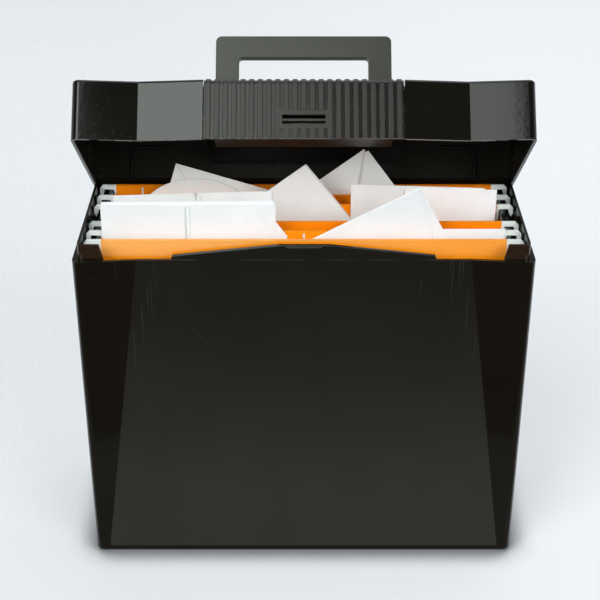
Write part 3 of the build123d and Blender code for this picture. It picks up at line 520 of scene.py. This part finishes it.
def hook_plastic():
    """Greenish white nylon of the bars and hooks."""
    material, tree, shader, place = new_material("hook_nylon")
    cloud = noise_of(tree, place, 120.0, 3.0)
    wear = place_group(tree, wear_group, {"Coordinates": place, "Reach": 0.0006})["Mask"]
    colour = mix_colour(tree, cloud, (0.74, 0.80, 0.755), (0.82, 0.865, 0.825))
    colour = mix_colour(tree, times(tree, wear, 0.35), colour, (0.56, 0.60, 0.565))
    tree.links.new(colour, shader.inputs["Base Color"])
    tree.links.new(ramp_of(tree, cloud, 0.3, 0.7, 0.34, 0.46), shader.inputs["Roughness"])
    shader.inputs["Subsurface Weight"].default_value = 0.15
    shader.inputs["Subsurface Radius"].default_value = (0.002, 0.002, 0.002)
    bump(tree, shader, noise_of(tree, place, 500.0, 2.0), 0.06, 0.0003)
    return material


def wire_paint():
    """Dull black lacquered wire, a little brighter where it rubs."""
    material, tree, shader, place = new_material("lacquered_wire")
    worn = ramp_of(tree, noise_of(tree, place, 160.0, 4.0), 0.66, 0.76)
    colour = mix_colour(tree, worn, (0.0125, 0.0118, 0.0095), (0.06, 0.058, 0.054))
    tree.links.new(colour, shader.inputs["Base Color"])
    tree.links.new(times(tree, worn, 0.5), shader.inputs["Metallic"])
    tree.links.new(ramp_of(tree, worn, 0.0, 1.0, 0.58, 0.48), shader.inputs["Roughness"])
    shader.inputs["Specular IOR Level"].default_value = 0.2
    return material


# the tub's panel colour is a painted haze of reflected light
tub_plastic = moulded_plastic(
    "tub_plastic", (0.0058, 0.0045, 0.0026), (0.10, 0.10, 0.095), 0.13, panel=(0.0262, 0.0250, 0.0192)
)
lid_plastic = moulded_plastic(
    "lid_plastic", (0.0040, 0.0036, 0.0026), (0.09, 0.09, 0.085), 0.055, lid_faces=True, peel=0.02
)
latch_plastic = moulded_plastic(
    "latch_plastic", (0.0070, 0.0070, 0.0055), (0.10, 0.10, 0.095), 0.12,
    tops=(0.0155, 0.0158, 0.0125), scuffs=0.2
)
handle_plastic = moulded_plastic(
    "handle_plastic", (0.027, 0.028, 0.0215), (0.17, 0.17, 0.16), 0.26, specks=0.15, scuffs=0.35
)
card_front = orange_card("orange_card_front", 0.0, (1.0, 0.292, 0.003))
# the middle and rear cards are painted a deeper orange than the front card: painted shade
card_middle = orange_card("orange_card_middle", 0.31, (1.0, 0.262, 0.002))
card_rear = orange_card("orange_card_rear", 0.67, (1.0, 0.262, 0.002))
hooks = hook_plastic()
wire = wire_paint()
paper_white = paper("white_paper_front", (0.835, 0.870, 0.880), 0.0)
paper_bright = paper("white_envelope_front", (0.855, 0.890, 0.900), 0.2)
# white paper painted brighter than the front papers, as painted light for the light that the papers in front
# keep off
paper_painted_brighter = paper("pale_sheet_middle", (0.890, 0.970, 0.965), 0.4)
paper_rose = paper("pale_card_middle", (0.920, 0.935, 0.930), 0.6)
# grey envelope paper, also used as painted shade on the shaded leaves of the long sheet and the square card
grey_paper_and_shade = paper("grey_envelope_and_painted_shade", (0.800, 0.838, 0.828), 0.8)
paper_rear = paper("grey_envelope_rear", (0.855, 0.880, 0.845), 0.7)
# light painted shade for the front envelope's inner edge line
paper_edge_shade = paper("painted_edge_shade_light", (0.78, 0.80, 0.79), 0.3)
paper_shade = paper("shaded_paper_edge", (0.66, 0.67, 0.65), 0.9)


def dress(node, material):
    """Puts a material on a CAD node."""
    mesh = nodes[node].data
    mesh.materials.clear()
    mesh.materials.append(material)


dress("box_body", tub_plastic)
dress("hinge_wire", wire)
dress("lid_shell", lid_plastic)
dress("latch", latch_plastic)
dress("handle", handle_plastic)
for file_name, card in (("front", card_front), ("middle", card_middle), ("rear", card_rear)):
    dress(file_name + "_file_card", card)
    dress(file_name + "_file_front_bar", hooks)
    dress(file_name + "_file_rear_bar", hooks)


# ---------------------------------------------------------------- papers

def corner_outline(tip, tilt, along, down):
    """Corners of a rectangle that stands on end: its tip, then to the left at tilt, and round."""
    turn = math.radians(tilt)
    left = Vector((-math.cos(turn), -math.sin(turn))) * along
    right = Vector((math.sin(turn), -math.cos(turn))) * down
    top = Vector(tip)
    return [top, top + left, top + left + right, top + right]


def cut_strips(bm, geom):
    """Cuts flat geometry into a grid of strips."""
    for axis in (0, 2):
        values = [part.co[axis] for part in geom if isinstance(part, bmesh.types.BMVert)]
        normal = Vector((1, 0, 0)) if axis == 0 else Vector((0, 0, 1))
        place = min(values) + LEAF_STEP
        while place < max(values):
            geom = bmesh.ops.bisect_plane(bm, geom=geom, plane_co=normal * place, plane_no=normal)["geom"]
            place += LEAF_STEP
    return [part for part in geom if isinstance(part, bmesh.types.BMFace)]


def leaf(bm, outline, y, tone=0, lift=None):
    """One leaf of paper from its corners, X and rise above the tub's edge, with its front face at y.

    lift is two X and how far the leaf comes forward from the first to the second."""
    corners = [bm.verts.new((x, y, LEDGE + rise)) for x, rise in outline]
    face = bm.faces.new(corners)
    face.normal_update()
    if face.normal.y > 0:
        face.normal_flip()
    made = cut_strips(bm, corners + list(face.edges) + [face])
    for part in made:
        part.material_index = tone
    if lift:
        start, end, forward = lift
        for vert in {v for part in made for v in part.verts}:
            share = min(max((vert.co.x - start) / (end - start), 0.0), 1.0)
            vert.co.y -= forward * share ** 2


def round_flap(bm, centre, radii, floor, y, tone=0):
    """A flap with an elliptical edge, cut off level at floor."""
    made = bmesh.ops.create_circle(bm, cap_ends=True, radius=1.0, segments=72)["verts"]
    size = Matrix.Diagonal((radii[0], radii[1], 1.0, 1.0))
    stand = Matrix.Rotation(math.radians(90), 4, "X")
    place = Matrix.Translation((centre[0], y, LEDGE + centre[1]))
    bmesh.ops.transform(bm, matrix=place @ stand @ size, verts=made)
    geom = list({part for v in made for part in (v, *v.link_edges, *v.link_faces)})
    cut = bmesh.ops.bisect_plane(
        bm, geom=geom, plane_co=(0, 0, LEDGE + floor), plane_no=(0, 0, -1), clear_outer=True
    )["geom"]
    for face in cut_strips(bm, cut):
        if face.normal.y > 0:
            face.normal_flip()
        face.material_index = tone


def finish_paper(name, bm, materials, curl):
    """Bends the leaves above the hems, gives them their thickness and makes the piece for their node."""
    for vert in bm.verts:
        rise = max(vert.co.z - LEDGE - LEAN_FROM, 0.0)
        share = (rise / CURL_REACH) ** 1.6
        ripple = RIPPLE * math.sin(vert.co.x / 17.0 + vert.co.z / 23.0)
        vert.co.y += curl * share + ripple * min(rise / 12.0, 1.0)
    bmesh.ops.solidify(bm, geom=bm.faces[:], thickness=LEAF_SHEET)
    bmesh.ops.scale(bm, vec=(MM, MM, MM), verts=bm.verts)
    mesh = bpy.data.meshes.new(name)
    bm.to_mesh(mesh)
    bm.free()
    mesh.shade_smooth()
    mesh.set_sharp_from_angle(angle=SHARP_ANGLE)
    for material in materials:
        mesh.materials.append(material)
    piece = bpy.data.objects.new(name, mesh)
    bpy.context.scene.collection.objects.link(piece)
    group = name.split("_")[0]
    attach(piece, group + "_papers")
    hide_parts(name.removesuffix("_leaves"))


def upright(left, right, left_rise, right_rise):
    """Corners of a sheet that stands upright between two sides."""
    return [(left, PAPER_FOOT), (right, PAPER_FOOT), (right, right_rise), (left, left_rise)]


def front_papers():
    """Gatefold leaflet, loose sheet and white envelope in the front file."""
    bm = bmesh.new()
    leaf(bm, upright(-161.0, -24.1, 35.6, 36.6), -37.85, 1)
    leaf(bm, upright(-162.0, -94.9, 33.6, 33.2), -38.45, lift=(-130.0, -94.9, 1.3))
    finish_paper("front_left_leaflet_leaves", bm, [paper_white, paper_painted_brighter], -0.8)

    bm = bmesh.new()
    body = [
        (-90.3, PAPER_FOOT), (-13.3, PAPER_FOOT), (-13.3, 5.7), (-22.5, 18.6), (-22.5, 33.9), (-90.3, 33.9)
    ]
    leaf(bm, body, -38.4, lift=(-60.0, -90.3, 1.3))
    flap = [(-34.5, 32.6), (-66.8, 6.0), (-80.0, -5.0), (-80.0, -40.0), (-22.9, -40.0), (-22.9, 20.2)]
    leaf(bm, flap, -38.95)
    finish_paper("front_right_leaflet_leaves", bm, [paper_bright], -0.8)

    bm = bmesh.new()
    leaf(bm, upright(60.0, 162.0, 11.6, 11.9), -37.95)
    leaf(bm, upright(60.5, 161.6, 12.0, 12.0), -38.4)
    finish_paper("front_back_sheet_leaves", bm, [paper_white], 0.0)

    bm = bmesh.new()
    whole = corner_outline((91.4, 49.5), 28.5, 161.0, 113.5)
    leaf(bm, whole, -39.3)
    # a layer in painted shade that draws the envelope's inner edge as a line
    leaf(bm, [whole[0] + Vector((0.9, -2.6)), *whole[1:3], (109.0, -42.0), (103.1, 12.6)], -39.7, 1)
    inner = [whole[0] + Vector((0.2, -1.4)), whole[1] + Vector((1.5, 0.5)), whole[2]]
    leaf(bm, [*inner, (108.0, -42.0), (102.6, 12.6)], -40.1)
    finish_paper("front_envelope_leaves", bm, [paper_bright, paper_edge_shade], -2.4)


def middle_papers():
    """Grey envelope, long folded sheet and card in the middle file."""
    bm = bmesh.new()
    whole = corner_outline((1.9, 47.5), 37.5, 114.0, 162.0)
    leaf(bm, whole, 12.55, 1)
    edge = (whole[1] - whole[0]).normalized() * 1.2
    leaf(bm, [whole[0] + edge, whole[1], whole[2], whole[3] + edge], 12.1)
    finish_paper("middle_envelope_leaves", bm, [grey_paper_and_shade, paper_shade], -1.6)

    bm = bmesh.new()
    # back leaf in grey paper as painted shade, seen through the fold's notch
    leaf(bm, upright(-157.4, -26.8, 18.6, 23.0), 11.25, 1)
    left_half = [(-158.0, PAPER_FOOT), (-89.4, PAPER_FOOT), (-89.4, 14.6), (-91.0, 21.9), (-158.0, 19.4)]
    right_half = [(-89.0, PAPER_FOOT), (-26.4, PAPER_FOOT), (-26.4, 23.6), (-87.9, 21.9), (-89.0, 14.6)]
    leaf(bm, [(-92.5, 22.0), (-90.4, 12.0), (-88.2, 12.0), (-86.4, 21.6)], 11.05, 2)
    leaf(bm, left_half, 10.85, lift=(-120.0, -91.0, 0.5))
    leaf(bm, right_half, 10.75, lift=(-70.0, -88.0, 0.9))
    leaf(bm, [(-87.3, 21.2), (-83.4, 13.4), (-82.9, 13.4), (-86.9, 21.4)], 10.0, 2)
    finish_paper("middle_long_sheet_leaves", bm, [paper_painted_brighter, grey_paper_and_shade, paper_shade], -0.6)

    bm = bmesh.new()
    # the card's left leaf in grey paper as painted shade
    leaf(bm, upright(39.2, 150.0, 29.6, 26.0), 11.25, 3)
    leaf(bm, [(82.4, 21.0), (83.9, 14.0), (86.0, 14.0), (86.0, 25.3), (83.2, 25.4)], 10.95, 2)
    leaf(bm, upright(83.8, 160.0, 25.4, 24.9), 10.6, 1)
    tones = [paper_painted_brighter, paper_rose, paper_shade, grey_paper_and_shade]
    finish_paper("middle_square_card_leaves", bm, tones, -0.8)


def rear_papers():
    """Two grey envelopes in the rear file, one seen from its flap side."""
    bm = bmesh.new()
    leaf(bm, [(54.2, 48.1), (51.2, 46.4), (16.0, 20.8), (102.0, -95.0), (138.8, -67.0)], 36.9)
    leaf(bm, [(50.9, 49.3), (51.7, 48.0), (46.9, 19.7), (41.6, -10.0), (40.2, -10.0)], 36.55, 1)
    leaf(bm, [(50.8, 49.8), (13.2, 22.3), (37.0, -10.0), (40.8, -10.0)], 36.2)
    leaf(bm, [(50.3, 40.0), (47.2, 20.0), (43.0, -10.0), (44.0, -10.0), (47.9, 20.0)], 35.95, 1)
    finish_paper("rear_right_envelope_leaves", bm, [paper_rear, paper_shade], 1.8)

    bm = bmesh.new()
    whole = corner_outline((-107.4, 36.3), 73.0, 114.0, 161.0)
    leaf(bm, whole, 38.5)
    side_flap = [(-107.2, 35.6), (-113.0, 16.5), (-123.0, -16.0), (-80.0, -16.0)]
    leaf(bm, [(x + 0.7 * (x > -113.0), rise) for x, rise in side_flap], 38.2, 1)
    leaf(bm, side_flap, 37.85)
    round_flap(bm, (-90.9, -12.0), (48.5, 35.3), -22.0, 37.6, 1)
    round_flap(bm, (-91.5, -12.2), (48.0, 35.0), -22.0, 37.2)
    finish_paper("rear_left_envelope_leaves", bm, [paper_rear, paper_shade], 1.2)


front_papers()
middle_papers()
rear_papers()


# ---------------------------------------------------------------- floor, light and camera

def pale_floor():
    """Pale floor with a faint brushed grain, painted lighter to the right, darker towards the front and with
    a painted contact shadow at the box's foot; in front of the box it is pale to the camera alone.
    """
    bm = bmesh.new()
    bmesh.ops.create_grid(bm, x_segments=2, y_segments=2, size=FLOOR_HALF)
    mesh = bpy.data.meshes.new("floor")
    bm.to_mesh(mesh)
    bm.free()
    floor = bpy.data.objects.new("floor", mesh)
    bpy.context.scene.collection.objects.link(floor)
    material, tree, shader, place = new_material("floor_sheet")
    grain = ramp_of(tree, noise_of(tree, scaled(tree, place, (420.0, 26.0, 1.0)), 1.0, 2.0), 0.25, 0.75)
    contact = add(tree, "ShaderNodeAmbientOcclusion", {"Distance": CONTACT_REACH}, samples=8).outputs["AO"]
    axes = axes_of(tree, place)
    # painted light: the floor is painted lighter to the right, where the lamps leave it darker
    across = ramp_of(tree, axes[0], -0.4, 0.4)
    pale = mix_colour(tree, across, LEFT_FLOOR, RIGHT_FLOOR)
    pale = mix_colour(tree, times(tree, grain, 0.5), pale, BRUSHED_FLOOR)
    # painted shade: darker towards the front
    near = ramp_of(tree, axes[1], -0.15, 0.30, 0.5, 0.0)
    pale = mix_colour(tree, near, pale, NEAR_FLOOR)
    # painted contact shadow where the box meets the floor
    pale = mix_colour(tree, ramp_of(tree, contact, 0.50, 1.0, 0.90, 0.0), pale, CONTACT_SHADE)
    rays = tree.nodes.new("ShaderNodeLightPath").outputs
    open_floor = ramp_of(tree, axes[1], *FRONT_FLOOR_EDGE)
    dim = mix_colour(tree, ramp_of(tree, axes[1], *DARK_FLOOR_EDGE), DARK_FLOOR, DIM_FLOOR)
    mirrored = times(tree, rays["Is Glossy Ray"], open_floor)
    shown = greater_of(tree, greater_of(tree, rays["Is Camera Ray"], mirrored), rays["Is Transmission Ray"])
    tone = mix_colour(tree, greater_of(tree, shown, open_floor), dim, pale)
    glow = times(tree, shown, FLOOR_GLOW)
    tree.links.new(mix_colour(tree, glow, tone, (0.0, 0.0, 0.0)), shader.inputs["Base Color"])
    tree.links.new(pale, shader.inputs["Emission Color"])
    tree.links.new(glow, shader.inputs["Emission Strength"])
    shader.inputs["Roughness"].default_value = 0.9
    shader.inputs["Specular IOR Level"].default_value = 0.0
    mesh.materials.append(material)


def softbox(name, place, facing, size, radiance, tint):
    """A flat soft lamp; facing is the way it looks and radiance is how bright its face is."""
    light = bpy.data.lights.new(name, "AREA")
    light.shape = "RECTANGLE"
    light.size, light.size_y = size
    light.energy = radiance * math.pi * size[0] * size[1]
    light.color = tint
    lamp = bpy.data.objects.new(name, light)
    lamp.location = place
    lamp.rotation_euler = Vector(facing).to_track_quat("-Z", "Y").to_euler()
    bpy.context.scene.collection.objects.link(lamp)


def studio_world():
    """Pale round the horizon and dim overhead."""
    world = bpy.data.worlds.new("studio")
    bpy.context.scene.world = world
    world.use_nodes = True
    tree = world.node_tree
    sky = tree.nodes["Background"]
    direction = add(tree, "ShaderNodeTexCoord").outputs["Generated"]
    height = axes_of(tree, direction)[2]
    up = ramp_of(tree, height, 0.22, 0.50)
    tree.links.new(mix_colour(tree, up, HORIZON, OVERHEAD), sky.inputs["Color"])
    sky.inputs["Strength"].default_value = 1.0


pale_floor()
studio_world()
softbox("key_left", (-4.8, -7.7, 11.9), KEY_FACING, (5.6, 7.6), 4.6, KEY_TINT)
softbox("key_right", (-1.01, -7.7, 11.9), KEY_FACING, (1.98, 7.6), 2.7, KEY_TINT)
softbox("fill_left", (-3.0, -3.8, 3.2), (0.60, 0.76, -0.58), (3.4, 2.4), 6.1, FILL_TINT)
softbox("fill_right", (3.0, -3.8, 3.2), (-0.60, 0.76, -0.58), (3.4, 2.4), 6.5, FILL_TINT)
softbox("overhead", (1.0, 2.2, 6.0), (-0.17, -0.36, -1.0), (4.8, 4.2), 2.3, FILL_TINT)

camera_data = bpy.data.cameras.new("camera")
camera_data.lens = CAMERA_LENS
camera_data.sensor_width = CAMERA_SENSOR
camera = bpy.data.objects.new("camera", camera_data)
camera.location = CAMERA_PLACE
camera.rotation_euler = (CAMERA_PITCH, 0.0, 0.0)
bpy.context.scene.collection.objects.link(camera)
bpy.context.scene.camera = camera
bpy.context.scene.view_settings.view_transform = "Standard"
